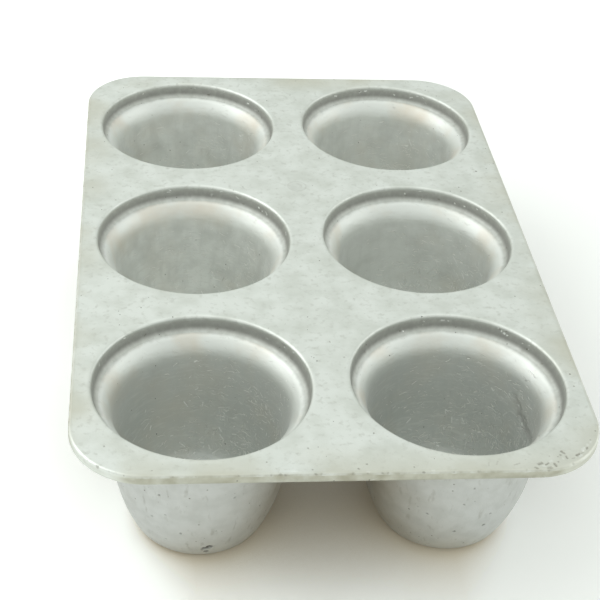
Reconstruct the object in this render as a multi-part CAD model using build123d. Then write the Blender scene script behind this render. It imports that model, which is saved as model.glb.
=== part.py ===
from build123d import *
import math
import os

# Popover pan: a flat deck with six deep cups, cast in one pour of aluminium.
# Millimetres. X runs across the pan, Y along it, and +Z is up.
# The origin is on the surface that the pan stands on, under the middle of the deck.

# Cup mouths and the deck metal round them
mouth_diameter = 89.0
web_across = 16.0
web_along = 17.0
side_rim = 8.0
end_rim = 9.5

# Deck plate
deck_thickness = 4.5
deck_corner_radius = 30.0
deck_top_edge_round = 1.2
deck_bottom_edge_round = 0.8
mouth_edge_round = 1.0
deck_edge_round_share = 0.4

# Collar: the upright step that hangs under each mouth
collar_drop = 2.0
collar_wall = 3.0
collar_root_fillet = 1.2
collar_outer_round = 2.0
collar_fillet_share = 0.8
step_draft_degrees = 8.0
crease_ledge = 0.3

# Cup under the crease: a tight bend at the top of the shoulder, then a slower one down its side
pan_height = 72.0
cup_wall = 3.5
cup_taper_degrees = 7.5
shoulder_top_radius = 5.0
shoulder_side_radius = 14.0
shoulder_top_turn_degrees = 49.0
straight_wall_depth = 43.0
belly_radius = 85.0
foot_round_outside = 6.5
foot_round_inside = 12.0
floor_thickness = 3.5

# How far a cutter runs past what it cuts
overrun = 1.0

# The grid of cups, counted along +X and +Y
columns = ["left", "right"]
rows = ["front", "middle", "back"]

# Sizes that follow from the ones above
mouth_radius = mouth_diameter / 2
pitch_across = mouth_diameter + web_across
pitch_along = mouth_diameter + web_along
deck_width = (len(columns) - 1) * pitch_across + mouth_diameter + 2 * side_rim
deck_length = (len(rows) - 1) * pitch_along + mouth_diameter + 2 * end_rim
deck_underside = pan_height - deck_thickness

step_draft = math.tan(math.radians(step_draft_degrees))
crease_height = deck_underside - collar_drop
crease_radius = mouth_radius - (pan_height - crease_height) * step_draft
collar_radius = crease_radius + collar_wall

taper_cos = math.cos(math.radians(cup_taper_degrees))
taper_sin = math.sin(math.radians(cup_taper_degrees))


def spread(names, pitch):
    """Pairs of a name and its place, with the places one pitch apart about the middle."""
    return [(name, (index - (len(names) - 1) / 2) * pitch) for index, name in enumerate(names)]


def on_circle(centre, radius, degrees):
    """The point of a circle that lies this many degrees from its rightmost point."""
    turn = math.radians(degrees)
    return (centre[0] + radius * math.cos(turn), centre[1] + radius * math.sin(turn))


def foot_arc(belly_centre, belly, floor_height, corner):
    """Centre of the corner arc between belly and floor, and the angle where they meet."""
    rise = belly_centre[1] - floor_height - corner
    meet = math.asin(rise / (belly - corner))
    reach = (belly - corner) * math.cos(meet)
    return (belly_centre[0] + reach, floor_height + corner), math.degrees(meet)


def deck_plate():
    """The flat deck, its six mouths and the short collar under each of them."""
    # Rounded plate with softened edges
    outline = RectangleRounded(deck_width, deck_length, deck_corner_radius)
    plate = Pos(0, 0, deck_underside) * extrude(outline, deck_thickness)
    largest_round = deck_edge_round_share * deck_thickness
    upper_edges = plate.faces().sort_by(Axis.Z)[-1].edges()
    plate = fillet(upper_edges, min(deck_top_edge_round, largest_round))
    lower_edges = plate.faces().sort_by(Axis.Z)[0].edges()
    plate = fillet(lower_edges, min(deck_bottom_edge_round, largest_round))

    # Collars first, then the tapering mouths through both
    collar_height = pan_height - deck_thickness / 2 - crease_height
    collar = Cylinder(collar_radius, collar_height, align=(Align.CENTER, Align.CENTER, Align.MIN))
    step_height = pan_height - crease_height
    mouth = Cone(
        crease_radius - overrun * step_draft,
        mouth_radius + overrun * step_draft,
        step_height + 2 * overrun,
        align=(Align.CENTER, Align.CENTER, Align.MIN),
    )
    for row, y in spread(rows, pitch_along):
        for column, x in spread(columns, pitch_across):
            plate += Pos(x, y, crease_height) * collar
            plate -= Pos(x, y, crease_height - overrun) * mouth

    # Soft mouth edges on top, and the cast fillets where the collars leave the underside
    levels = plate.faces().filter_by(GeomType.PLANE).group_by(Axis.Z)
    mouth_edges = levels[-1][0].inner_wires().edges()
    plate = fillet(mouth_edges, mouth_edge_round)
    levels = plate.faces().filter_by(GeomType.PLANE).group_by(Axis.Z)
    root_edges = levels[1][0].inner_wires().edges()
    return fillet(root_edges, min(collar_root_fillet, collar_fillet_share * collar_drop))


def cup():
    """One cup under its crease, turned about its own upright axis."""
    # The shoulder bends down from the crease, in two arcs that run into the tapering wall
    upper = (crease_radius - crease_ledge, crease_height - shoulder_top_radius)
    upper_end = 90 + shoulder_top_turn_degrees
    side = on_circle(upper, shoulder_top_radius - shoulder_side_radius, upper_end)
    side_end = 180 - cup_taper_degrees
    upper_outside = shoulder_top_radius - cup_wall
    side_outside = shoulder_side_radius - cup_wall
    inner_wall_top = on_circle(side, shoulder_side_radius, side_end)
    outer_wall_top = on_circle(side, side_outside, side_end)

    # The straight wall ends where the belly begins to draw in
    belly_top = pan_height - straight_wall_depth
    run = (outer_wall_top[1] - belly_top) / taper_cos
    outer_wall_end = (outer_wall_top[0] - run * taper_sin, belly_top)
    belly = on_circle(outer_wall_end, -belly_radius, -cup_taper_degrees)
    inside_belly = belly_radius - cup_wall
    inner_wall_end = on_circle(belly, inside_belly, -cup_taper_degrees)

    # Foot corners, outside and inside
    outer_foot, outer_turn = foot_arc(belly, belly_radius, 0, foot_round_outside)
    inner_foot, inner_turn = foot_arc(belly, inside_belly, floor_thickness, foot_round_inside)

    # Collar's lower outside corner
    collar_round = min(collar_outer_round, collar_fillet_share * cup_wall)
    collar_underside = crease_height - cup_wall
    collar_corner = (collar_radius - collar_round, collar_underside + collar_round)

    with BuildPart() as body:
        with BuildSketch(Plane.XZ):
            with BuildLine():
                # Outside, from the middle of the foot up to the crease
                Line((0, 0), (outer_foot[0], 0))
                CenterArc(outer_foot, foot_round_outside, -90, 90 - outer_turn)
                CenterArc(belly, belly_radius, -outer_turn, outer_turn - cup_taper_degrees)
                Line(outer_wall_end, outer_wall_top)
                CenterArc(side, side_outside, side_end, upper_end - side_end)
                CenterArc(upper, upper_outside, upper_end, 90 - upper_end)
                Line((upper[0], collar_underside), (collar_corner[0], collar_underside))
                CenterArc(collar_corner, collar_round, -90, 90)
                Line((collar_radius, collar_corner[1]), (collar_radius, crease_height))
                Line((collar_radius, crease_height), (upper[0], crease_height))
                # Inside, from the crease down to the middle of the floor
                CenterArc(upper, shoulder_top_radius, 90, upper_end - 90)
                CenterArc(side, shoulder_side_radius, upper_end, side_end - upper_end)
                Line(inner_wall_top, inner_wall_end)
                CenterArc(belly, inside_belly, -cup_taper_degrees, cup_taper_degrees - inner_turn)
                CenterArc(inner_foot, foot_round_inside, -inner_turn, inner_turn - 90)
                Line((inner_foot[0], floor_thickness), (0, floor_thickness))
                Line((0, floor_thickness), (0, 0))
            make_face()
        revolve(axis=Axis.Z)
    return body.part


os.makedirs("parts", exist_ok=True)
export_step(deck_plate(), "parts/deck_plate.step")
one_cup = cup()
for row, y in spread(rows, pitch_along):
    for column, x in spread(columns, pitch_across):
        export_step(Pos(x, y, 0) * one_cup, "parts/cup_" + row + "_" + column + ".step")
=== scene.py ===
import math
import random
from collections import namedtuple

import bmesh
import bpy
from mathutils import Matrix, Vector, bvhtree, kdtree, noise


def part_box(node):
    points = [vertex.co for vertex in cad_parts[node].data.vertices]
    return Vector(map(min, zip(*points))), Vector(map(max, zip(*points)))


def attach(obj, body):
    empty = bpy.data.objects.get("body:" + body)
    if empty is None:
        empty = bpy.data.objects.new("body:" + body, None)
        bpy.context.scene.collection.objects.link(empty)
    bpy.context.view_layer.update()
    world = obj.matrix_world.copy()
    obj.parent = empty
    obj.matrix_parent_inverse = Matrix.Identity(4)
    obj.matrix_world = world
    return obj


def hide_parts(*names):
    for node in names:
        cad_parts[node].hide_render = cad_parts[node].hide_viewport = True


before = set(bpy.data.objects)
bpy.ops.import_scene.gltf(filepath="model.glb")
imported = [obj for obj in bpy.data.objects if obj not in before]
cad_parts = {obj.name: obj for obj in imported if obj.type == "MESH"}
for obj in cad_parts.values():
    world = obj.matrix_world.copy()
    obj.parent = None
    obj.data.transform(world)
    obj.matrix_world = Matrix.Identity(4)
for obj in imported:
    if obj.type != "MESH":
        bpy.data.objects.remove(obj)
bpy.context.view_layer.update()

mm = 0.001


# Camera.
# The photograph looks down the length of the pan from a little to its left, through a
# long lens, with the camera tipped slightly anticlockwise.
deck_low, deck_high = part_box("deck_plate")
deck_top = deck_high.z
camera_place = Vector((-75.5 * mm, -536.8 * mm, deck_top + 358.6 * mm))
camera_aim = Vector((-7.8 * mm, -50.1 * mm, deck_top))
camera_roll = math.radians(4.5)
lens_mm = 83.3
sensor_mm = 36.0


def new_object(name, data):
    """A new object in the scene, at the origin."""
    made = bpy.data.objects.new(name, data)
    bpy.context.scene.collection.objects.link(made)
    return made


def looking(place, aim):
    """The stand of a camera or lamp at a place, turned to look at its aim."""
    return Matrix.Translation(place) @ (aim - place).to_track_quat("-Z", "Y").to_matrix().to_4x4()


camera_data = bpy.data.cameras.new("camera")
camera_data.lens = lens_mm
camera_data.sensor_width = sensor_mm
camera = new_object("camera", camera_data)
camera.matrix_world = looking(camera_place, camera_aim) @ Matrix.Rotation(camera_roll, 4, "Z")
bpy.context.scene.camera = camera


# Deck.
# A flat plate with rounded corners and six mouths, poured in sand in one piece with the
# cups. Each mouth has a soft edge and a short upright step, which hangs under the plate
# as a collar. Its top was ground flat, then scuffed and stained by years of baking.
deck_thickness = 4.5 * mm
deck_corner = 30 * mm
top_round = 1.2 * mm
bottom_round = 0.8 * mm
mouth_radius = 44.5 * mm
mouth_round = 1.5 * mm
step_draft = math.radians(8)
crease_height = deck_low.z
crease_radius = mouth_radius - (deck_top - crease_height) * math.tan(step_draft)
crease_fillet = 3.0 * mm
ledge = 0.3 * mm
shoulder_top_radius = 5 * mm
collar_wall = 3.0 * mm
collar_radius = crease_radius + collar_wall
collar_fillet = 1.2 * mm
deck_underside = deck_top - deck_thickness
spokes_to_corner = 25
weld = 0.001 * mm

cup_nodes = sorted(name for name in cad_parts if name.startswith("cup_"))
cup_places = {cup_node: (sum(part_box(cup_node), Vector()) / 2).to_2d() for cup_node in cup_nodes}


def linear(hex_colour):
    """An sRGB colour such as b7bab5 as the linear RGBA that a shader takes."""
    channels = [int(hex_colour[i:i + 2], 16) / 255 for i in (0, 2, 4)]
    return [c / 12.92 if c <= 0.04045 else ((c + 0.055) / 1.055) ** 2.4 for c in channels] + [1.0]


def add(tree, kind, inputs=None, **settings):
    """Adds a node, sets its properties, and fills or links its inputs. A node given as an
    input stands for its first output."""
    made = tree.nodes.new(kind)
    for name, value in settings.items():
        setattr(made, name, value)
    for socket, value in (inputs or {}).items():
        if isinstance(value, bpy.types.Node):
            value = value.outputs[0]
        if isinstance(value, bpy.types.NodeSocket):
            tree.links.new(value, made.inputs[socket])
        else:
            made.inputs[socket].default_value = value
    return made


def scratches(tree, place, cell, length, width, share, bend, lean=(1.0, 1.0, 1.0)):
    """A mask of scratches. The surface is cut by a plane in each cell of space, turned at
    random but leaning to the axes given, and shows a scratch in this share of the cells."""
    wander = add(tree, "ShaderNodeTexNoise", {"Vector": place, "Scale": 1 / cell, "Detail": 1.0})
    bent = add(tree, "ShaderNodeVectorMath", {0: wander.outputs["Color"], 1: (bend,) * 3, 2: place},
               operation="MULTIPLY_ADD")
    cells = add(tree, "ShaderNodeTexVoronoi", {"Vector": bent, "Scale": 1 / cell})
    offset = add(tree, "ShaderNodeVectorMath", {0: bent, 1: cells.outputs["Position"]}, operation="SUBTRACT")
    turn = add(tree, "ShaderNodeVectorMath", {0: cells.outputs["Color"], 1: (0.5,) * 3}, operation="SUBTRACT")
    leaning = add(tree, "ShaderNodeVectorMath", {0: turn, 1: lean}, operation="MULTIPLY")
    plane = add(tree, "ShaderNodeVectorMath", {0: leaning}, operation="NORMALIZE")
    above = add(tree, "ShaderNodeVectorMath", {0: offset, 1: plane}, operation="DOT_PRODUCT")
    gap = add(tree, "ShaderNodeMath", {0: above.outputs["Value"]}, operation="ABSOLUTE")
    line = add(tree, "ShaderNodeMapRange", {
        "Value": gap, "From Min": 0.2 * width, "From Max": 0.5 * width, "To Min": 1.0, "To Max": 0.0})
    away = add(tree, "ShaderNodeVectorMath", {0: offset}, operation="LENGTH")
    reach = add(tree, "ShaderNodeMapRange", {
        "Value": away.outputs["Value"], "From Min": 0.25 * length, "From Max": 0.5 * length,
        "To Min": 1.0, "To Max": 0.0})
    draw = add(tree, "ShaderNodeSeparateColor", {"Color": cells.outputs["Color"]})
    chosen = add(tree, "ShaderNodeMath", {0: draw.outputs["Blue"], 1: share}, operation="LESS_THAN")
    part = add(tree, "ShaderNodeMath", {0: line, 1: reach}, operation="MULTIPLY")
    return add(tree, "ShaderNodeMath", {0: part, 1: chosen}, operation="MULTIPLY")


def pores(tree, place, spacing, radius):
    """A mask of open gas pores, of all sizes up to this radius."""
    cells = add(tree, "ShaderNodeTexVoronoi", {"Vector": place, "Scale": 1 / spacing})
    draw = add(tree, "ShaderNodeSeparateColor", {"Color": cells.outputs["Color"]})
    size = add(tree, "ShaderNodeMath", {0: draw, 1: radius / spacing}, operation="MULTIPLY")
    core = add(tree, "ShaderNodeMath", {0: size, 1: 0.5}, operation="MULTIPLY")
    return add(tree, "ShaderNodeMapRange", {
        "Value": cells, "From Min": core, "From Max": size, "To Min": 1.0, "To Max": 0.0})


def blotches(tree, place, width, low, high):
    """Soft patches about this wide, from 0 where there are none to 1."""
    cloud = add(tree, "ShaderNodeTexNoise", {"Vector": place, "Scale": 1 / width, "Detail": 3.0})
    return add(tree, "ShaderNodeMapRange", {"Value": cloud, "From Min": low, "From Max": high})


def crease_film_and_shade(tree, place, crease):
    """The grey film that scouring leaves in a corner, painted darker there as painted shade. It fades out
    unevenly on the shoulder.
    """
    uneven = add(tree, "ShaderNodeMath", {
        0: add(tree, "ShaderNodeTexNoise", {"Vector": place, "Scale": 1 / (3 * mm), "Detail": 2.0}),
        1: 0.7, 2: crease}, operation="MULTIPLY_ADD")
    return add(tree, "ShaderNodeMapRange", {"Value": uneven, "From Min": 0.5, "From Max": 1.5})


def layered_metal(tree, bare, rough, grain, grain_height, layers):
    """Finishes a metal under layers laid over one another, each a mask with its colour,
    its change of roughness and its height in millimetres."""
    colour = linear(bare)
    height = add(tree, "ShaderNodeMath", {0: grain, 1: grain_height}, operation="MULTIPLY")
    for mask, over, rougher, rise in layers:
        laid = add(tree, "ShaderNodeMix", {0: mask, 6: colour, 7: linear(over)}, data_type="RGBA")
        colour = laid.outputs[2]
        rough = add(tree, "ShaderNodeMath", {0: mask, 1: rougher, 2: rough}, operation="MULTIPLY_ADD")
        height = add(tree, "ShaderNodeMath", {0: mask, 1: rise, 2: height}, operation="MULTIPLY_ADD")
    bump = add(tree, "ShaderNodeBump", {"Height": height, "Strength": 1.0, "Distance": mm})
    shader = add(tree, "ShaderNodeBsdfPrincipled", {
        "Base Color": colour, "Metallic": 1.0, "Roughness": rough, "Normal": bump})
    add(tree, "ShaderNodeOutputMaterial", {"Surface": shader})


def new_material(name, *attributes):
    """An empty material: itself, its tree, the place on the piece and these attributes of
    the piece's mesh."""
    material = bpy.data.materials.new(name)
    material.use_nodes = True
    tree = material.node_tree
    tree.nodes.clear()
    read = [add(tree, "ShaderNodeAttribute", attribute_name=each).outputs["Fac"] for each in attributes]
    return material, tree, add(tree, "ShaderNodeTexCoord").outputs["Object"], *read


def ground_aluminium():
    """Sand-cast aluminium, ground flat on a belt and dulled since: an even pale satin with
    faint tarnish, yellow baking stains near the rim and fine handling scratches, with painted
    shade down the mouths' steps and in their creases, and a painted highlight where the stain
    on the outer side thins out low down."""
    material, tree, place, step_film_and_shade, crease, rim, browned, edge, wear, pressed = new_material(
        "ground_cast_aluminium", "step_film_and_shade", "crease", "rim", "browned", "edge", "wear", "pressed")
    chipped = add(tree, "ShaderNodeMath", {0: pressed, 1: -1.0}, operation="MULTIPLY", use_clamp=True)
    handled = add(tree, "ShaderNodeMapRange", {"Value": step_film_and_shade, "To Min": 0.35, "To Max": 0.0})
    tarnish = blotches(tree, place, 11 * mm, 0.38, 0.72)
    stain = add(tree, "ShaderNodeMath", {
        0: blotches(tree, place, 34 * mm, 0.42, 0.72), 1: rim}, operation="MULTIPLY")
    stain = add(tree, "ShaderNodeMath", {0: stain, 1: browned}, operation="MAXIMUM")
    baked_and_shaded = add(tree, "ShaderNodeMapRange", {
        "Value": blotches(tree, place, 6 * mm, 0.30, 0.65), "To Min": 0.45, "To Max": 1.0})
    uneven_film_and_shade = add(tree, "ShaderNodeMapRange", {
        "Value": blotches(tree, place, 2.2 * mm, 0.25, 0.55), "To Min": 0.75, "To Max": 1.0})
    rubbed = add(tree, "ShaderNodeMath", {
        0: blotches(tree, place, 5 * mm, 0.40, 0.70), 1: wear}, operation="MULTIPLY")
    # The belt's grit left a grain of about 0.3 mm, drawn at 0.8 mm so that it shows
    grain = add(tree, "ShaderNodeTexNoise", {"Vector": place, "Scale": 1 / (0.8 * mm), "Detail": 2.0})
    layered_metal(tree, "e9ede8", 0.42, grain, 0.035, (
        (tarnish, "d8dcd5", 0.04, 0.04),
        (blotches(tree, place, 2.5 * mm, 0.55, 0.80), "d0d3cc", 0.03, 0.02),
        (stain, "d3d3c6", 0.05, 0.0),
        # Painted shade down the step, over a rougher, patchy film
        (add(tree, "ShaderNodeMath", {0: uneven_film_and_shade, 1: step_film_and_shade}, operation="MULTIPLY"), "b7b8b3", 0.20, 0.0),
        # Painted shade in the crease, over a grey film
        (crease_film_and_shade(tree, place, crease), "acada8", 0.15, 0.0),
        # A baked stain on the outer side face; it thins out on the lower rounding as a painted highlight, and
        # round the corners
        (add(tree, "ShaderNodeMath", {0: baked_and_shaded, 1: edge}, operation="MULTIPLY"), "b4b2a2", 0.10, 0.0),
        (rubbed, "e6e9e4", -0.05, 0.0),
        (scratches(tree, place, 16 * mm, 15 * mm, 0.25 * mm, handled.outputs[0], 4 * mm),
         "e6eae6", -0.05, -0.03),
        (pores(tree, place, 4.5 * mm, 0.4 * mm), "6d6a60", 0.1, -0.3),
        (pressed, "8f8c82", 0.1, 0.0),
        (chipped, "f6f8f5", -0.02, 0.0),
    ))
    return material


def as_cast_aluminium():
    """Sand-cast aluminium left as it left the mould: a dull grey skin with the print of
    the sand and open pores, and brown where fat has baked on and no hand scours it off.
    On the sides of the cups that face one another the brown is also painted shade."""
    material, tree, place, baked_and_shaded, pressed = new_material("as_cast_aluminium", "baked_and_shaded", "pressed")
    # Moulding sand is about 0.25 mm across, and its print is drawn at 0.7 mm so that it shows
    sand = add(tree, "ShaderNodeTexNoise", {"Vector": place, "Scale": 1 / (0.7 * mm), "Detail": 2.0})
    patchy = add(tree, "ShaderNodeMapRange", {
        "Value": blotches(tree, place, 16 * mm, 0.30, 0.65), "To Min": 0.5, "To Max": 1.0})
    down = add(tree, "ShaderNodeVectorMath", {0: place, 1: (1.0, 1.0, 0.3)}, operation="MULTIPLY")
    layered_metal(tree, "d6d8d6", 0.54, sand, 0.06, (
        (blotches(tree, place, 7 * mm, 0.40, 0.75), "cccecb", 0.08, 0.05),
        (blotches(tree, down, 2.6 * mm, 0.60, 0.80), "bebfba", 0.06, 0.0),
        # Brown where fat has baked on; on cup sides facing one another it is also painted shade
        (add(tree, "ShaderNodeMath", {0: patchy, 1: baked_and_shaded}, operation="MULTIPLY"), "9a8b6c", 0.0, 0.0),
        (pores(tree, place, 3.6 * mm, 0.5 * mm), "9b9991", 0.1, -0.4),
        (pressed, "5f5d55", 0.1, 0.0),
    ))
    return material


ground_metal = ground_aluminium()
cast_metal = as_cast_aluminium()


def on_arc(centre, radius, degrees):
    """The point of an arc at this angle, in a (radius, height) plane."""
    turn = math.radians(degrees)
    return (centre[0] + radius * math.cos(turn), centre[1] + radius * math.sin(turn))


def arc(centre, radius, start, end, steps):
    """Points that divide an arc into steps, with its two ends."""
    return [on_arc(centre, radius, start + (end - start) * i / steps) for i in range(steps + 1)]


def between(a, b, steps):
    """Points that divide the run from a to b, without its two ends."""
    return [tuple(p + (q - p) * i / steps for p, q in zip(a, b)) for i in range(1, steps)]


def cell_side(centre, axis, sign):
    """How far a cup's cell of the deck reaches this way, and whether it ends at the outline."""
    others = [(p[axis] - centre[axis]) * sign for p in cup_places.values()]
    others = [gap for gap in others if gap > mm]
    if others:
        return min(others) / 2, False
    return abs((deck_high if sign > 0 else deck_low)[axis] - centre[axis]), True


def corner_centre(point):
    """The centre of the rounded corner that a point of the outline is on, if it is on one."""
    centre = Vector([math.copysign(deck_high[axis] - deck_corner, point[axis]) for axis in (0, 1)])
    return centre if all(abs(point[axis]) > abs(centre[axis]) for axis in (0, 1)) else None


def outline_hit(centre, heading):
    """Where a ray from a cup's centre leaves its cell of the deck: the point, the outward
    normal, and whether that is the deck's own outline or the border with the next cell."""
    hits = []
    for axis in (0, 1):
        if abs(heading[axis]) > 1e-9:
            sign = 1 if heading[axis] > 0 else -1
            side, outer = cell_side(centre, axis, sign)
            normal = Vector((sign, 0)) if axis == 0 else Vector((0, sign))
            hits.append((side / abs(heading[axis]), normal, outer))
    nearest = min(hit[0] for hit in hits)
    # A ray through a cell's corner counts as meeting the outline
    reach, normal, outer = max((hit for hit in hits if hit[0] < nearest + 0.01 * mm), key=lambda hit: hit[2])
    point = centre + heading * reach
    pivot = corner_centre(point)
    if outer and pivot is not None:
        offset = centre - pivot
        half = offset.dot(heading)
        reach = -half + math.sqrt(half * half - offset.length_squared + deck_corner ** 2)
        point = centre + heading * reach
        normal = (point - pivot).normalized()
    return point, normal, outer


def spoke_angles(centre, steps):
    """Headings round a cup, with one through each corner of its cell."""
    angles = []
    for quarter, signs in enumerate(((1, 1), (-1, 1), (-1, -1), (1, -1))):
        across, along = [cell_side(centre, axis, signs[axis])[0] for axis in (0, 1)]
        corner = math.atan2(along, across) if quarter % 2 == 0 else math.atan2(across, along)
        start = quarter * math.pi / 2
        angles += [start + corner * i / steps for i in range(steps)]
        angles += [start + corner + (math.pi / 2 - corner) * i / steps for i in range(steps)]
    return angles


def fillet_at_crease():
    """The soft corner in which the step runs into the shoulder of the cup below it: the
    arc that touches both."""
    up_step = Vector((math.sin(step_draft), math.cos(step_draft)))
    off_step = Vector((-math.cos(step_draft), math.sin(step_draft)))
    shoulder = Vector((crease_radius - ledge, crease_height - shoulder_top_radius))
    start = Vector((crease_radius, crease_height)) + off_step * crease_fillet - shoulder
    ahead = start.dot(up_step)
    span = shoulder_top_radius + crease_fillet
    centre = shoulder + start + up_step * (math.sqrt(ahead ** 2 - start.length_squared + span ** 2) - ahead)
    low = math.degrees(math.atan2(shoulder.y - centre.y, shoulder.x - centre.x))
    return arc(centre, crease_fillet, low, -math.degrees(step_draft), 8)


def deck_spoke(centre, angle):
    """The rings of points that one heading crosses, from the crease round to the seat."""
    heading = Vector((math.cos(angle), math.sin(angle)))
    border, normal, outer = outline_hit(centre, heading)

    def along(points):
        return [(*(centre + heading * r), z) for r, z in points]

    wall_point = (mouth_radius - mouth_round * math.tan(step_draft), deck_top - mouth_round)
    rim_centre = (wall_point[0] + mouth_round / math.cos(step_draft), wall_point[1])
    rim = arc(rim_centre, mouth_round, 180 - math.degrees(step_draft), 90, 5)
    step = fillet_at_crease()
    inner = along(step + between(step[-1], rim[0], 3) + rim)

    edge = (*(border - normal * top_round), deck_top) if outer else (*border, deck_top)
    top = between(inner[-1], edge, 10) + [edge]

    outside = []
    if outer:
        shape = arc((-top_round, deck_top - top_round), top_round, 90, 0, 5)[1:]
        shape += between(shape[-1], (0, deck_underside + bottom_round), 3)
        shape += arc((-bottom_round, deck_underside + bottom_round), bottom_round, 0, -90, 4)
        outside = [(*(border + normal * out), z) for out, z in shape]
    lower_edge = [] if outer else [(*border, deck_underside)]

    fillet_centre = (collar_radius + collar_fillet, deck_underside - collar_fillet)
    seat = [(collar_radius, crease_height), (crease_radius, crease_height)]
    collar = along(arc(fillet_centre, collar_fillet, 90, 180, 4)
                   + seat[:1] + between(*seat, 2) + seat[1:])
    start = outside[-1] if outer else lower_edge[0]
    under = between(start, collar[0], 6) + collar
    return {"inner": inner + top, "outside": outside, "under": lower_edge + under, "outer": outer}


def build_deck():
    """The whole deck as one closed mesh, a fan of spokes round each mouth."""
    shape = bmesh.new()
    for centre in cup_places.values():
        spokes = [deck_spoke(centre, angle) for angle in spoke_angles(centre, spokes_to_corner)]
        for spoke in spokes:
            for part in ("inner", "outside", "under"):
                spoke[part] = [shape.verts.new(p) for p in spoke[part]]
        for spoke, following in zip(spokes, spokes[1:] + spokes[:1]):
            both_outer = spoke["outer"] and following["outer"]
            loops = []
            for s in (spoke, following):
                if both_outer:
                    loops.append([s["inner"] + s["outside"] + s["under"] + s["inner"][:1]])
                else:
                    lower = s["outside"][-1:] + s["under"] + s["inner"][:1]
                    loops.append([s["inner"], lower])
            for here, there in zip(*loops):
                for corners in zip(here, here[1:], there[1:], there):
                    shape.faces.new(corners)
    bmesh.ops.remove_doubles(shape, verts=shape.verts, dist=weld)
    bmesh.ops.recalc_face_normals(shape, faces=shape.faces)
    mesh = bpy.data.meshes.new("plain_deck")
    shape.to_mesh(mesh)
    shape.free()
    return mesh


def mark_points(mesh, name, rule):
    """Gives every point of a mesh a number from 0 to 1, for its tree or its materials."""
    values = [min(max(rule(v.co), 0.0), 1.0) for v in mesh.vertices]
    mesh.attributes.new(name, "FLOAT", "POINT").data.foreach_set("value", values)


skin_inputs = {
    "Hollow depth": "Float", "Hollow width": "Float", "Ripple depth": "Float", "Ripple width": "Float",
    "Finish": "Material", "Other finish": "Material",
}


def shape_tree(name, inputs):
    """A new geometry tree that takes a shape and these inputs."""
    tree = bpy.data.node_groups.new(name, "GeometryNodeTree")
    for label, kind in {"Geometry": "Geometry", **inputs}.items():
        tree.interface.new_socket(label, in_out="INPUT", socket_type="NodeSocket" + kind)
    tree.interface.new_socket("Geometry", in_out="OUTPUT", socket_type="NodeSocketGeometry")
    return tree, add(tree, "NodeGroupInput")


def cast_skin(tree, given, shape):
    """Ends a tree with the uneven skin of a casting, which moves points inwards alone and
    not where their skin attribute is 0, and with a finish for each side of the casting."""
    total = 0.0
    for kind in ("Hollow", "Ripple"):
        scale = add(tree, "ShaderNodeMath", {0: 1.0, 1: given.outputs[kind + " width"]}, operation="DIVIDE")
        cloud = add(tree, "ShaderNodeTexNoise", {"Scale": scale, "Detail": 1.0})
        total = add(tree, "ShaderNodeMath", {0: cloud, 1: given.outputs[kind + " depth"], 2: total},
                    operation="MULTIPLY_ADD")
    skin = add(tree, "GeometryNodeInputNamedAttribute", {"Name": "skin"}, data_type="FLOAT")
    depth = add(tree, "ShaderNodeMath", {0: total, 1: skin}, operation="MULTIPLY")
    inwards = add(tree, "ShaderNodeMath", {0: depth, 1: -1.0}, operation="MULTIPLY")
    offset = add(tree, "ShaderNodeVectorMath", {0: add(tree, "GeometryNodeInputNormal"), "Scale": inwards},
                 operation="SCALE")
    shape = add(tree, "GeometryNodeSetPosition", {"Geometry": shape, "Offset": offset})
    shape = add(tree, "GeometryNodeRealizeInstances", {"Geometry": shape})
    shape = add(tree, "GeometryNodeSetMaterial", {"Geometry": shape, "Material": given.outputs["Finish"]})
    other = add(tree, "GeometryNodeInputNamedAttribute", {"Name": "other_side"}, data_type="FLOAT")
    chosen = add(tree, "ShaderNodeMath", {0: other, 1: 0.9}, operation="GREATER_THAN")
    shape = add(tree, "GeometryNodeSetMaterial", {
        "Geometry": shape, "Selection": chosen, "Material": given.outputs["Other finish"]})
    add(tree, "NodeGroupOutput", {"Geometry": shape})


def run_tree(mesh, tree, inputs):
    """Runs a geometry tree on a mesh and returns what it makes as a plain mesh."""
    source = new_object(tree.name, mesh)
    modifier = source.modifiers.new(tree.name, "NODES")
    modifier.node_group = tree
    for item in tree.interface.items_tree:
        if item.in_out == "INPUT" and item.name in inputs:
            modifier[item.identifier] = inputs[item.name]
    graph = bpy.context.evaluated_depsgraph_get()
    made = bpy.data.meshes.new_from_object(source.evaluated_get(graph), depsgraph=graph)
    bpy.data.objects.remove(source)
    return made


Mark = namedtuple("Mark", "place radius depth dirt run ring", defaults=(Vector((0, 0, 0)), 0.0))
# Random marks and their ragged outlines come out the same in each run
seed = 11
noise.seed_set(seed)


def gap_to(mark, point):
    """How far a point is from the line of a mark: a dot, a short stroke or a ring. The
    distance wavers a little, which makes the mark's outline ragged."""
    waver = noise.noise_vector(point / (1.2 * mark.radius)) * 0.6 * mark.radius
    offset = point + waver - mark.place
    if mark.ring:
        return abs(offset.length - mark.ring)
    if mark.run.length:
        share = min(max(offset.dot(mark.run) / mark.run.length_squared, -1.0), 1.0)
        offset -= mark.run * share
    return offset.length


def mark_reach(mark):
    """How far from a mark's middle its line runs."""
    return max(mark.run.length, mark.ring)


def point_finder(shape):
    """Finds points of a shape by place, until the shape gets more of them."""
    finder = kdtree.KDTree(len(shape.verts))
    for vert in shape.verts:
        finder.insert(vert.co, vert.index)
    finder.balance()
    shape.verts.ensure_lookup_table()
    return finder


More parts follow.
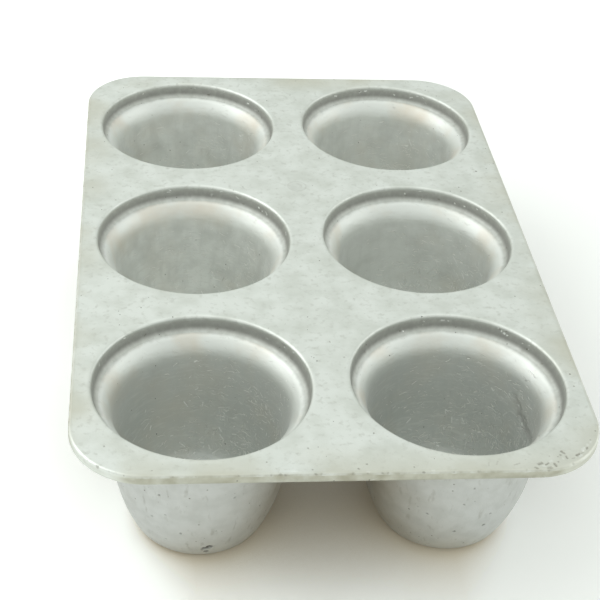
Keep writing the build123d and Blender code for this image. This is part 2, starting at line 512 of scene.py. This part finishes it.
def press(mesh, marks):
    """Dents a mesh at its marks, after dividing the faces there finely enough, and notes
    in its pressed attribute how much dirt each dent holds, or below 0 how bright it is."""
    shape = bmesh.new()
    shape.from_mesh(mesh)
    pressed = shape.verts.layers.float.new("pressed")
    surface = bvhtree.BVHTree.FromBMesh(shape)
    marks = [(mark, *surface.find_nearest(mark.place)[:2]) for mark in marks]
    marks = [(mark._replace(place=place), normal) for mark, place, normal in marks]
    for fineness in (1.6, 0.8, 0.4):
        finder = point_finder(shape)
        # Held in order, so that every run makes the same mesh
        coarse = {}
        for mark, normal in marks:
            reach = mark_reach(mark) + 2 * mark.radius + 1.5 * mm
            for place, index, _ in finder.find_range(mark.place, reach):
                vert = shape.verts[index]
                for edge in vert.link_edges:
                    length = edge.calc_length()
                    if length > fineness * mark.radius and gap_to(mark, place) < 1.3 * mark.radius + length:
                        coarse[edge] = True
        bmesh.ops.subdivide_edges(shape, edges=list(coarse), cuts=1, use_grid_fill=True)
        shape.verts.index_update()
    finder = point_finder(shape)
    for mark, normal in marks:
        for place, index, _ in finder.find_range(mark.place, mark_reach(mark) + mark.radius):
            share = gap_to(mark, place) / mark.radius
            if share < 1:
                vert = shape.verts[index]
                vert.co -= normal * mark.depth * (1 - share * share) ** 2
                held = mark.dirt * min(1, 2 - 2 * share)
                if abs(held) > abs(vert[pressed]):
                    vert[pressed] = held
    bmesh.ops.triangulate(shape, faces=[f for f in shape.faces if len(f.verts) > 4])
    shape.to_mesh(mesh)
    shape.free()


sharpest_smooth = math.radians(40)


def finish_piece(mesh, *nodes):
    """Shades a mesh and puts it in the frame in place of its nodes."""
    mesh.polygons.foreach_set("use_smooth", [True] * len(mesh.polygons))
    mesh.set_sharp_from_angle(angle=sharpest_smooth)
    piece = new_object(mesh.name, mesh)
    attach(piece, "root")
    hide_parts(*nodes)


def nearest_mouth(point):
    """Distance from a point to the axis of the nearest cup."""
    return min((point.to_2d() - centre).length for centre in cup_places.values())


def outline_gap(point):
    """Distance from a point on the deck to the deck's own outline."""
    half = deck_high.to_2d() - Vector((deck_corner, deck_corner))
    past = Vector([abs(point[i]) - half[i] for i in (0, 1)])
    outside = Vector([max(p, 0) for p in past]).length
    return deck_corner - (outside if outside else max(past))


def corner_share(point):
    """How far a point is round one of the deck's corners, where the stain on its side fades out."""
    past = [abs(point[i]) - deck_high[i] + deck_corner for i in (0, 1)]
    return min(max(min(past) / (0.35 * deck_corner), 0.0), 1.0)


def stroke(x, y, radius, depth, dirt, length=0.0, heading=0.0):
    """A mark on the deck's top, in millimetres and degrees. Below 0, its dirt is bright metal."""
    turn = math.radians(heading)
    run = Vector((math.cos(turn), math.sin(turn), 0)) * length / 2 * mm
    return Mark(Vector((x * mm, y * mm, deck_top)), radius * mm, depth * mm, dirt, run)


deck_mesh = build_deck()
# The fillet and the seat of the collar stay true, so that they meet the cup
mark_points(deck_mesh, "skin", lambda p: (
    min(deck_top - p.z, p.z - crease_height - crease_fillet) / mm
    if nearest_mouth(p) < collar_radius else 1.0))
mark_points(deck_mesh, "other_side", lambda p: float(
    p.z < deck_underside + 0.3 * mm and nearest_mouth(p) > crease_radius + 0.5 * mm))
deck_tree, deck_given = shape_tree("deck_skin", skin_inputs)
cast_skin(deck_tree, deck_given, deck_given.outputs["Geometry"])
deck_mesh = run_tree(deck_mesh, deck_tree, {
    "Hollow depth": 0.10 * mm, "Hollow width": 16 * mm,
    "Ripple depth": 0.03 * mm, "Ripple width": 4 * mm,
    "Finish": ground_metal, "Other finish": cast_metal,
})

# Nicks, pores and knocks that the photograph shows on the deck: place, radius, depth and
# dirt, and for a stroke its length and heading
deck_marks = [stroke(*values) for values in (
    (100.5, -102.7, 0.6, 0.20, 0.8), (100.2, -110.5, 0.5, 0.16, 0.6), (13.1, -137.6, 0.5, 0.16, 0.7),
    (-12.9, -157.6, 0.5, 0.16, 0.7), (-13.5, -145.6, 0.5, 0.13, 0.6), (-29.8, -153.0, 0.5, 0.13, 0.6),
    (4.6, -157.4, 0.6, 0.20, 0.8), (8.1, -155.0, 0.5, 0.16, 0.7), (26.0, -157.0, 0.5, 0.16, 0.6),
    (92.6, 60.2, 0.7, 0.20, 0.8), (81.2, 40.9, 0.5, 0.13, 0.6), (-90.9, -142.8, 0.5, 0.13, 0.6),
    (55.1, -156.1, 0.4, 0.08, 0.2, 2.0, 80), (58.5, -155.6, 0.4, 0.08, 0.2, 2.0, 65),
    (66.0, -156.4, 0.4, 0.08, 0.3, 2.5, 20), (85.6, -150.2, 0.7, 0.23, 0.6, 1.5, 125),
    (84.2, -151.6, 0.9, 0.20, 0.5), (86.5, -152.9, 0.5, 0.20, 0.6, 1.2, 100),
    (83.0, -152.6, 0.4, 0.16, 0.6), (75.3, -156.2, 0.8, 0.23, 0.6, 1.5, 20),
    (77.9, -156.5, 0.5, 0.20, 0.6, 1.5, 40), (78.6, -158.6, 0.7, 0.26, 0.4, 1.5, 10),
    (73.2, -158.6, 0.6, 0.20, 0.5, 1.0, 150), (81.0, -157.0, 0.6, 0.23, 0.6, 1.5, 100),
    (82.6, -155.4, 0.5, 0.16, 0.5), (91.4, -151.4, 0.7, 0.29, 0.7, 1.5, 40),
    (93.4, -150.3, 0.6, 0.26, 0.2, 1.5, 50), (95.9, -147.9, 0.6, 0.20, 0.6, 1.0, 60),
    (89.0, -153.4, 0.5, 0.23, 0.3, 1.0, 20), (98.6, -143.2, 0.5, 0.16, 0.4), (101.9, -138.0, 0.5, 0.13, 0.5),
    (96.0, -130.0, 0.5, 0.10, 0.3), (79.8, -152.2, 0.4, 0.10, 0.4), (70.0, -153.8, 0.4, 0.10, 0.3),
    (94.2, -148.6, 0.8, 0.10, -0.4, 1.5, 48), (96.4, -146.2, 0.7, 0.10, -0.3, 1.0, 55),
    (92.2, -152.2, 0.7, 0.10, -0.4, 0.8, 40), (98.2, -144.6, 0.5, 0.07, -0.3, 1.0, 60),
    (79.6, -155.2, 0.6, 0.08, -0.3, 1.0, 30), (76.4, -157.6, 0.7, 0.08, -0.3, 0.8, 15),
    (84.8, -153.9, 0.5, 0.08, -0.3, 0.6, 120), (-20.0, -158.6, 0.6, 0.10, -0.3, 1.5, 3),
    (33.0, -159.0, 0.5, 0.08, -0.3, 0.8, 0), (8.0, -159.2, 0.5, 0.08, -0.2, 1.0, 0),
)]
# A faint round sprue mark between the back cups
sprue_mark = Vector((-0.6 * mm, 44.7 * mm, deck_top))
deck_marks.append(Mark(sprue_mark, 0.45 * mm, 0.05 * mm, 0.15, ring=4.5 * mm))
deck_marks.append(Mark(sprue_mark, 2.5 * mm, 0.05 * mm, 0.10, ring=2.2 * mm))


def on_step(cup_node, turn, drop):
    """The place on a cup's step that lies this way, this far below the deck's top."""
    height = deck_top - drop * mm
    radius = crease_radius + (height - crease_height) * math.tan(step_draft)
    place = cup_places[cup_node] + Vector((math.cos(turn), math.sin(turn))) * radius
    return Vector((*place, height))


# Chips that the photograph shows on the steps: heading, drop, radius and dirt
step_chips = {
    "cup_front_right": (
        (56, 1.4, 0.5, -0.8), (54, 2.3, 0.6, -1.0), (52, 2.9, 0.7, -1.0), (50, 3.1, 0.6, -1.0),
        (55, 1.9, 0.5, 0.5), (51, 1.8, 0.6, 0.4), (36, 4.5, 0.6, 0.7), (35, 4.0, 0.4, -0.6),
        (114, 5.2, 0.5, 0.8), (112, 5.6, 0.5, -0.9), (80, 5.6, 0.4, 0.5),
    ),
    "cup_middle_left": (
        (43, 3.4, 0.6, -1.0), (40, 4.1, 0.6, -0.8), (41, 4.6, 0.5, 0.4), (77, 4.2, 0.9, -0.4),
    ),
}
for cup_node, chips in step_chips.items():
    for heading, drop, radius, dirt in chips:
        chip_place = on_step(cup_node, math.radians(heading), drop)
        deck_marks.append(Mark(chip_place, radius * mm, 0.15 * mm, dirt))

# How many random chips each step has, and pores and knocks the deck
chips_a_step = 10
deck_pores = 60
rim_knocks = 70
draw = random.Random(seed)
# Most chips are at the back and to the right: bright ones high up, dirty ones low down
for i in range(chips_a_step * len(cup_places)):
    turn = math.radians(draw.gauss(60, 40))
    drop = draw.uniform(1.5, 6.0)
    deck_marks.append(Mark(
        on_step(cup_nodes[i % len(cup_nodes)], turn, drop), draw.uniform(0.3, 0.6) * mm, 0.12 * mm,
        -draw.uniform(0.2, 0.8) if drop < 4.3 else draw.uniform(0.1, 0.5),
        Vector((math.sin(turn), -math.cos(turn), draw.uniform(-0.8, 0.8))) * draw.uniform(0.1, 0.6) * mm))
for _ in range(deck_pores):
    place = Vector([draw.uniform(deck_low[axis], deck_high[axis]) for axis in (0, 1)])
    if nearest_mouth(place) > mouth_radius + 2 * mm and outline_gap(place) > 1.5 * mm:
        height = draw.choice((deck_top, deck_underside))
        size = draw.uniform(0.3, 0.7) * mm
        deck_marks.append(Mark(Vector((*place, height)), size, 0.4 * size, 0.8 * draw.random()))
# Knocks lie along the rim's upper edge, more of them at the front
for _ in range(rim_knocks):
    way = Vector((draw.gauss(0, 1), draw.gauss(-0.4, 1)))
    knock = Vector([math.copysign(deck_high[axis], way[axis]) for axis in (0, 1)])
    if draw.random() < 0.5:
        knock.x *= draw.random()
    else:
        knock.y *= draw.random()
    pivot = corner_centre(knock)
    if pivot is not None:
        knock = pivot + (knock - pivot).normalized() * deck_corner
    size = draw.uniform(0.3, 0.8) * mm
    deck_marks.append(Mark(Vector((*knock, deck_top - 0.3 * mm)), size, 0.35 * size, 0.6 * draw.random()))
press(deck_mesh, deck_marks)

in_mouth = mouth_radius + 0.5 * mm


def up_fillet(point):
    """How far up the fillet at the crease a point lies, from 0 at its foot to 1."""
    return (point.z - crease_height) / crease_fillet


# In the crease the deck is painted darker, as painted shade over a grey film
mark_points(deck_mesh, "crease", lambda p: (
    min(1.6 - up_fillet(p), 0.4 + 1.4 * up_fillet(p)) if nearest_mouth(p) < in_mouth else 0.0))
# Down the step the deck is painted darker, as painted shade inside the mouth, over a rougher film
mark_points(deck_mesh, "step_film_and_shade", lambda p: (
    min((deck_top - p.z) / (2.4 * mm), 0.4 + 1.2 * up_fillet(p)) if nearest_mouth(p) < in_mouth else 0.0))
mark_points(deck_mesh, "rim", lambda p: 1.0 - (outline_gap(p) - 2 * mm) / (16 * mm))
mark_points(deck_mesh, "browned", lambda p: (
    0.7 - outline_gap(p) / (24 * mm) if p.y < deck_low.y + 25 * mm and p.x > -8 * mm else 0.0))
mark_points(deck_mesh, "wear", lambda p: (
    1.0 - outline_gap(p) / (0.9 * mm) if p.z > deck_top - top_round else 0.0))
# A baked stain on the deck's outer side face. It thins out on the face's lower rounding, which is a painted
# highlight, and fades out round the corners.
mark_points(deck_mesh, "edge", lambda p: (
    min((deck_top - p.z + 0.1 * mm) / (0.8 * mm), 0.4 + (p.z - deck_underside) / mm)
    * (1 - 0.9 * corner_share(p)) if outline_gap(p) < 1.5 * mm else 0.0))
mark_points(deck_mesh, "baked_and_shaded", lambda p: 0.8)
deck_mesh.name = "pan_deck"
finish_piece(deck_mesh, "deck_plate")


# Cups.
# Six like cups, poured with the deck. Under the crease a rounded shoulder rolls into a
# tapering wall, which draws in low down and turns into a flat foot. The outside is as it
# left the mould, but brown with baked fat that is also painted shade where the cups face
# one another; the inside is greyer, seasoned with fat and scratched by knives.
cup_wall = 3.5 * mm
taper = 7.5
shoulder_side_radius = 14 * mm
shoulder_top_turn = 49
straight_depth = 43 * mm
belly_radius = 85 * mm
foot_round = 6.5 * mm
floor_round = 12 * mm
floor_height = 3.5 * mm
collar_round = 2 * mm
cup_turns = 256
pores_a_cup = 12


def seasoned_aluminium():
    """Cast aluminium seasoned by use: a rougher, darker grey than the deck, streaked by
    scouring and cut by many short bright scratches where a knife frees the popovers, with
    painted shade in the crease."""
    material, tree, place, knifed, seasoned, shoulder, crease, pressed = new_material(
        "seasoned_cast_aluminium", "knifed", "seasoned", "shoulder", "crease", "pressed")
    grain = add(tree, "ShaderNodeTexNoise", {"Vector": place, "Scale": 1 / (0.8 * mm), "Detail": 2.0})
    chipped = add(tree, "ShaderNodeMath", {0: pressed, 1: -1.0}, operation="MULTIPLY", use_clamp=True)
    stained = add(tree, "ShaderNodeMapRange", {"Value": shoulder, "To Min": 0.35, "To Max": 0.9})
    stain = add(tree, "ShaderNodeMath", {
        0: blotches(tree, place, 22 * mm, 0.47, 0.74), 1: stained}, operation="MULTIPLY")
    # Streaks run down the wall, and scouring runs round it, so place is stretched for each
    down = add(tree, "ShaderNodeVectorMath", {0: place, 1: (1.0, 1.0, 0.12)}, operation="MULTIPLY")
    around = add(tree, "ShaderNodeVectorMath", {0: place, 1: (0.2, 0.2, 1.0)}, operation="MULTIPLY")
    # Cuts come in bouts, so they crowd in some places and leave others alone
    reached = add(tree, "ShaderNodeMapRange", {"Value": shoulder, "To Min": 1.0, "To Max": 0.25})
    cut = add(tree, "ShaderNodeMath", {0: knifed, 1: reached}, operation="MULTIPLY")
    bout = add(tree, "ShaderNodeMath", {
        0: blotches(tree, place, 12 * mm, 0.40, 0.58), 1: cut}, operation="MULTIPLY")
    brushed = add(tree, "ShaderNodeMapRange", {"Value": cut, "To Min": 0.10, "To Max": 1.0})
    layered_metal(tree, "f2f4f1", 0.60, grain, 0.05, (
        (seasoned, "d2d5d2", 0.0, 0.0),
        (blotches(tree, place, 9 * mm, 0.40, 0.80), "d6d8d4", 0.03, 0.05),
        (blotches(tree, down, 3 * mm, 0.52, 0.95), "dcdedb", 0.0, 0.03),
        (blotches(tree, around, 1.5 * mm, 0.52, 0.80), "e2e4e1", -0.04, -0.03),
        (shoulder, "e8ebe7", -0.06, 0.0),
        (stain, "dfd9cd", 0.0, 0.0),
        # Painted shade in the crease, over a grey film
        (crease_film_and_shade(tree, place, crease), "b3b4af", 0.05, 0.0),
        (scratches(tree, place, 1.7 * mm, 3.0 * mm, 0.24 * mm, brushed.outputs[0], 0.6 * mm, (0.7, 0.7, 1.3)),
         "e0e2de", -0.06, -0.06),
        (scratches(tree, place, 2.0 * mm, 3.2 * mm, 0.32 * mm, bout, 0.9 * mm), "fafaf6", -0.25, -0.25),
        (scratches(tree, place, 4.0 * mm, 7 * mm, 0.34 * mm, bout, 2.0 * mm, (0.6, 0.6, 1.6)),
         "fafaf6", -0.28, -0.28),
        (pores(tree, place, 5 * mm, 0.4 * mm), "8e8d87", 0.1, -0.3),
        (pressed, "9b9a95", 0.1, 0.0),
        (chipped, "fdfefc", -0.2, 0.0),
    ))
    return material


def foot_arc(belly, radius, floor, corner):
    """Centre of the arc between belly and floor, and the angle in degrees where they meet."""
    meet = math.asin((belly[1] - floor - corner) / (radius - corner))
    return (belly[0] + (radius - corner) * math.cos(meet), floor + corner), math.degrees(meet)


def cup_section():
    """The cup's section, up the outside from the middle of the foot and down the inside,
    and the number of its points that are outside."""
    upper = (crease_radius - ledge, crease_height - shoulder_top_radius)
    turn = 90 + shoulder_top_turn
    side = on_arc(upper, shoulder_top_radius - shoulder_side_radius, turn)
    end = 180 - taper
    wall_top = on_arc(side, shoulder_side_radius - cup_wall, end)
    belly_top = deck_top - straight_depth
    wall_end = (wall_top[0] - (wall_top[1] - belly_top) * math.tan(math.radians(taper)), belly_top)
    belly = on_arc(wall_end, -belly_radius, -taper)
    foot, foot_turn = foot_arc(belly, belly_radius, 0, foot_round)
    floor, floor_turn = foot_arc(belly, belly_radius - cup_wall, floor_height, floor_round)
    under = crease_height - cup_wall

    points = [(0, 0)] + between((0, 0), (foot[0], 0), 14)
    points += arc(foot, foot_round, -90, -foot_turn, 8)
    points += arc(belly, belly_radius, -foot_turn, -taper, 22)[1:]
    points += between(wall_end, wall_top, 24)
    points += arc(side, shoulder_side_radius - cup_wall, end, turn, 7)
    points += arc(upper, shoulder_top_radius - cup_wall, turn, 90, 3)[1:]
    points += arc((collar_radius - collar_round, under + collar_round), collar_round, -90, 0, 5)
    points += [(collar_radius, crease_height)]
    points += between(points[-1], (upper[0], crease_height), 3)
    outside = len(points)
    points += arc(upper, shoulder_top_radius, 90, turn, 9)
    points += arc(side, shoulder_side_radius, turn, end, 12)[1:]
    points += between(points[-1], on_arc(belly, belly_radius - cup_wall, -taper), 24)
    points += arc(belly, belly_radius - cup_wall, -taper, -floor_turn, 18)
    points += arc(floor, floor_round, -floor_turn, -90, 14)[1:]
    points += between((floor[0], floor_height), (0, floor_height), 12) + [(0, floor_height)]
    return points, outside


def turned_cup():
    """A tree that turns a section about the cup's axis: a grid with a row for each point
    of the section and a column for each turn, rolled up and closed where it meets."""
    tree, given = shape_tree("turned_cup", {
        "Turns": "Int", "Axis place": "Vector", "Weld distance": "Float", **skin_inputs})
    section = given.outputs["Geometry"]
    turns = given.outputs["Turns"]
    points = add(tree, "GeometryNodeAttributeDomainSize", {"Geometry": section}, component="MESH")
    columns = add(tree, "ShaderNodeMath", {0: turns, 1: 1.0}, operation="ADD")
    grid = add(tree, "GeometryNodeMeshGrid", {"Vertices X": columns, "Vertices Y": points})
    index = add(tree, "GeometryNodeInputIndex")
    row = add(tree, "ShaderNodeMath", {0: index, 1: points}, operation="MODULO")
    rows = add(tree, "ShaderNodeMath", {0: index, 1: points}, operation="DIVIDE")
    turned = add(tree, "ShaderNodeMath", {0: rows}, operation="FLOOR")
    one_turn = add(tree, "ShaderNodeMath", {0: math.tau, 1: turns}, operation="DIVIDE")
    angle = add(tree, "ShaderNodeMath", {0: turned, 1: one_turn}, operation="MULTIPLY")
    held = {}
    for name in ("other_side", "skin"):
        value = add(tree, "GeometryNodeInputNamedAttribute", {"Name": name}, data_type="FLOAT")
        held[name] = add(tree, "GeometryNodeSampleIndex", {"Geometry": section, "Value": value, "Index": row},
                         data_type="FLOAT")
    point = add(tree, "GeometryNodeSampleIndex", {
        "Geometry": section, "Value": add(tree, "GeometryNodeInputPosition"), "Index": row},
        data_type="FLOAT_VECTOR")
    rolled = add(tree, "ShaderNodeVectorRotate", {"Vector": point, "Angle": angle}, rotation_type="Z_AXIS")
    placed = add(tree, "ShaderNodeVectorMath", {0: rolled, 1: given.outputs["Axis place"]}, operation="ADD")
    shape = grid.outputs["Mesh"]
    for name, value in held.items():
        shape = add(tree, "GeometryNodeStoreNamedAttribute", {
            "Geometry": shape, "Name": name, "Value": value}, data_type="FLOAT", domain="POINT")
    shape = add(tree, "GeometryNodeSetPosition", {"Geometry": shape, "Position": placed})
    shape = add(tree, "GeometryNodeMergeByDistance", {
        "Geometry": shape, "Distance": given.outputs["Weld distance"]})
    cast_skin(tree, given, shape)
    return tree


seasoned_metal = seasoned_aluminium()
turning_tree = turned_cup()
section_points, outside_count = cup_section()
section_mesh = bpy.data.meshes.new("cup_section")
section_mesh.from_pydata([(r, 0, z) for r, z in section_points],
                         [(i, i + 1) for i in range(len(section_points) - 1)], [])
section_mesh.attributes.new("other_side", "FLOAT", "POINT").data.foreach_set(
    "value", [float(i >= outside_count) for i in range(len(section_points))])
# The foot stays flat, and so does the seat under the deck's collar
mark_points(section_mesh, "skin", lambda p: min(p.z, abs(crease_height - p.z)) / (2 * mm))


def on_wall(centre, facing, height, inside):
    """The place on a cup's wall, outside or inside, at this facing in degrees and height."""
    turn = math.radians(facing)
    wall = section_points[outside_count:] if inside else section_points[:outside_count]
    near = [r for r, z in wall if abs(z - height * mm) < 2 * mm]
    place = centre + Vector((math.cos(turn), math.sin(turn))) * (sum(near) / len(near))
    return Vector((*place, height * mm))


def wall_mark(centre, facing, height, radius, depth, dirt, inside=False, to_facing=None, to_height=None):
    """A dot or a short stroke on a cup's wall."""
    start = on_wall(centre, facing, height, inside)
    end = start if to_facing is None else on_wall(centre, to_facing, to_height, inside)
    return Mark((start + end) / 2, radius * mm, depth * mm, dirt, (end - start) / 2)


# Pores and knocks on each cup that the photograph shows: the way they face in degrees,
# height, radius, depth and dirt, and for those inside also where a stroke ends
cup_marks = {
    "cup_front_left": (
        (-118, 42.5, 0.8, 0.4, 0.5), (-125, 26.8, 0.8, 0.3, 0.3), (-117, 13.2, 0.8, 0.4, 0.4),
        (-105, 20.4, 0.8, 0.4, 0.4), (-71, 42.5, 0.7, 0.3, 0.4), (-87, 8.8, 2.6, 1.3, 1.0),
        (-84, 10.6, 1.5, 0.9, 0.9), (-86, 6.0, 1.3, 0.6, 0.8),
    ),
    "cup_front_right": (
        (-86, 47.5, 0.7, 0.3, 0.4), (-90, 37.5, 0.7, 0.3, 0.4), (-112, 29.0, 0.7, 0.3, 0.4),
        (-69, 28.5, 0.7, 0.3, 0.4), (-71, 21.2, 0.9, 0.5, 0.6), (-92, 18.9, 0.8, 0.4, 0.5),
        # The broad dark streak in the front right cup is a shallow groove whose dirt is painted shade
        (28, 48.0, 2.6, 0.25, 0.30, True, 17, 43.6), (17, 43.4, 3.2, 0.30, 0.45, True, 8, 41.8),
        (8, 41.8, 3.2, 0.30, 0.45, True, 0, 41.8), (0, 41.8, 2.4, 0.25, 0.35, True, -8, 43.4),
        (24, 52.0, 0.5, 0.25, 0.0, True, 22, 46.0),
        (14, 38.0, 0.5, 0.25, 0.0, True, 8, 33.0), (2, 38.0, 0.5, 0.25, 0.3, True, -3, 33.0),
        (-39, 62.0, 0.7, 0.3, 0.0, True, -36, 60.5),
    ),
}

# How many bright cuts a knife has left in each cup, and how far seasoning has darkened it
cup_wear = {
    "cup_front_left": (70, 0.85), "cup_front_right": (60, 1.0),
    "cup_middle_left": (20, 0.1), "cup_middle_right": (40, 0.4),
    "cup_back_left": (10, 0.2), "cup_back_right": (16, 0.25),
}


def rim_facing(point, centre):
    """How much a place on a cup's wall faces out of the pan, from 0 to 1."""
    out = point.to_2d() - centre
    if out.length < mm:
        return 0.5
    out.normalize()
    # A middle cup has a rim on one side alone
    ways = [out[axis] * math.copysign(1, centre[axis]) for axis in (0, 1) if abs(centre[axis]) > mm]
    return min(1.0, sum(max(0.0, way) ** 2 for way in ways))


fillet_foot = fillet_at_crease()[0][0]
for cup_node, cup_place in cup_places.items():
    cup_mesh = run_tree(section_mesh, turning_tree, {
        "Turns": cup_turns, "Axis place": (*cup_place, 0.0), "Weld distance": weld,
        "Hollow depth": 0.22 * mm, "Hollow width": 14 * mm,
        "Ripple depth": 0.05 * mm, "Ripple width": 3.5 * mm,
        "Finish": cast_metal, "Other finish": seasoned_metal,
    })
    marks = [wall_mark(cup_place, *values) for values in cup_marks.get(cup_node, ())]
    for _ in range(pores_a_cup):
        marks.append(wall_mark(
            cup_place, draw.uniform(-180, 180), draw.uniform(8, 55), draw.uniform(0.4, 0.8), 0.3,
            0.5 * draw.random()))
    knife_cuts, seasoning = cup_wear[cup_node]
    for _ in range(knife_cuts):
        facing = draw.gauss(40, 50)
        cut_height = 50 - 42 * math.sqrt(draw.random())
        length = draw.choice((0.3, 0.5, 0.5, 1.0))
        marks.append(wall_mark(
            cup_place, facing, cut_height, draw.uniform(0.22, 0.4), 0.12, -draw.uniform(0.4, 1.0), True,
            facing + draw.uniform(-7, 7) * length, cut_height + draw.uniform(-4, 4) * length))
    press(cup_mesh, marks)
    # Knives cut most on the right and low down
    mark_points(cup_mesh, "knifed", lambda p: (
        (0.5 + (p.x - cup_place.x) / (60 * mm)) * (1.15 - p.z / (62 * mm))))
    mark_points(cup_mesh, "seasoned", lambda p: seasoning * (1.15 - p.z / (200 * mm)))
    mark_points(cup_mesh, "shoulder", lambda p: (p.z - 54 * mm) / (7 * mm))
    # The crease is painted darker, as painted shade over a grey film
    mark_points(cup_mesh, "crease", lambda p: 0.5 - (fillet_foot - nearest_mouth(p)) / (3.0 * mm))
    # Brown baked fat, most on the sides that face the other cups, where it is also painted shade between the
    # cups
    mark_points(cup_mesh, "baked_and_shaded", lambda p: 0.05 + 0.6 * (1 - rim_facing(p, cup_place)))
    cup_mesh.name = "pan_" + cup_node
    finish_piece(cup_mesh, cup_node)


# Floor, light and backdrop.
# A cream paper table in a white room, with a large soft box on the left and a weaker one
# low on the right, so that shadows stay faint. The paper's warm tint shows in bounced light,
# and round the pan as painted shade.
floor_half = 25.0
floor_corners = [(x * floor_half, y * floor_half, 0) for x, y in ((-1, -1), (1, -1), (1, 1), (-1, 1))]
floor_mesh = bpy.data.meshes.new("floor")
floor_mesh.from_pydata(floor_corners, [], [(0, 1, 2, 3)])
floor_material, floor_tree, floor_place = new_material("matt_cream_paper")
# Seen by the camera, the open paper is painted brighter than white, more on the left than on
# the right, as painted light; seen by the camera and in reflections, the nooks round the pan
# are painted cream, as painted shade
painted_glare_left, painted_glare_right = [[c * glare for c in linear("fdfefd")[:3]] + [1.0] for glare in (1.26, 1.06)]
across = add(floor_tree, "ShaderNodeSeparateXYZ", {"Vector": floor_place})
rightwards = add(floor_tree, "ShaderNodeMapRange", {
    "Value": across.outputs["X"], "From Min": -0.12, "From Max": 0.14}, interpolation_type="SMOOTHSTEP")
painted_glare_paper = add(floor_tree, "ShaderNodeMix", {
    0: rightwards, 6: painted_glare_left, 7: painted_glare_right}, data_type="RGBA")
# Beyond the outer cups the painted shade gives way to painted light from both sides
outer = add(floor_tree, "ShaderNodeMapRange", {
    "Value": add(floor_tree, "ShaderNodeMath", {0: across.outputs["X"]}, operation="ABSOLUTE"),
    "From Min": 0.055, "From Max": 0.09, "To Max": 0.4})
# Ambient occlusion round the pan, with the side term, sets where the paper gets painted shade
painted_open_share = add(floor_tree, "ShaderNodeMath", {
    0: add(floor_tree, "ShaderNodeAmbientOcclusion", {"Distance": 0.06}, samples=16).outputs["AO"], 1: outer},
    operation="ADD")
painted_light_share = add(floor_tree, "ShaderNodeMapRange", {"Value": painted_open_share, "From Min": 0.45, "From Max": 0.88})
ray = add(floor_tree, "ShaderNodeLightPath")
seen = add(floor_tree, "ShaderNodeMath", {0: ray.outputs["Is Camera Ray"], 1: ray.outputs["Is Glossy Ray"]},
           operation="MAXIMUM")
white = add(floor_tree, "ShaderNodeMix", {
    0: ray.outputs["Is Camera Ray"], 6: linear("fdfefd"), 7: painted_glare_paper.outputs[2]}, data_type="RGBA")
# Painted shade in cream where the paper is occluded, painted light in white where it is open
painted_light_and_shade_paper = add(floor_tree, "ShaderNodeMix", {
    0: painted_light_share, 6: linear("e0d6c4"), 7: white.outputs[2]}, data_type="RGBA")
paper = add(floor_tree, "ShaderNodeMix", {
    0: seen, 6: linear("e4d9c3"), 7: painted_light_and_shade_paper.outputs[2]}, data_type="RGBA")
floor_shader = add(floor_tree, "ShaderNodeBsdfDiffuse", {"Color": paper.outputs[2]})
add(floor_tree, "ShaderNodeOutputMaterial", {"Surface": floor_shader})
floor_mesh.materials.append(floor_material)
floor = new_object("floor", floor_mesh)

world = bpy.data.worlds.new("soft_sky")
bpy.context.scene.world = world
world.use_nodes = True
world_tree = world.node_tree
world_tree.nodes.clear()
# The ceiling is brighter than the walls of the room, and the left wall than the right one,
# which has a window in it
way = add(world_tree, "ShaderNodeSeparateXYZ", {
    "Vector": add(world_tree, "ShaderNodeTexCoord").outputs["Object"]})
ceiling = add(world_tree, "ShaderNodeMapRange", {
    "Value": way.outputs["Z"], "From Min": 0.65, "From Max": 1.0, "To Min": 0.9, "To Max": 1.12})
right_wall = add(world_tree, "ShaderNodeMapRange", {
    "Value": way.outputs["X"], "From Min": -0.1, "From Max": 0.5, "To Max": -0.15})
window = add(world_tree, "ShaderNodeMapRange", {
    "Value": way.outputs["X"], "From Min": 0.6, "From Max": 0.9, "To Max": 0.3})
walls = add(world_tree, "ShaderNodeMath", {0: right_wall, 1: window}, operation="ADD")
strength = add(world_tree, "ShaderNodeMath", {0: ceiling, 1: walls}, operation="ADD")
sky = add(world_tree, "ShaderNodeBackground", {"Color": linear("fbfffb"), "Strength": strength})
add(world_tree, "ShaderNodeOutputWorld", {"Surface": sky})

for name, place, size, watts in (
    ("left_soft_box", Vector((-1.5, 0.3, 1.2)), 1.8, 8.5),
    ("right_soft_box", Vector((1.6, 0.1, 0.8)), 1.3, 2.0),
):
    lamp_data = bpy.data.lights.new(name, "AREA")
    lamp_data.shape = "DISK"
    lamp_data.size = size
    lamp_data.energy = watts
    new_object(name, lamp_data).matrix_world = looking(place, Vector())

bpy.context.scene.view_settings.view_transform = "Standard"
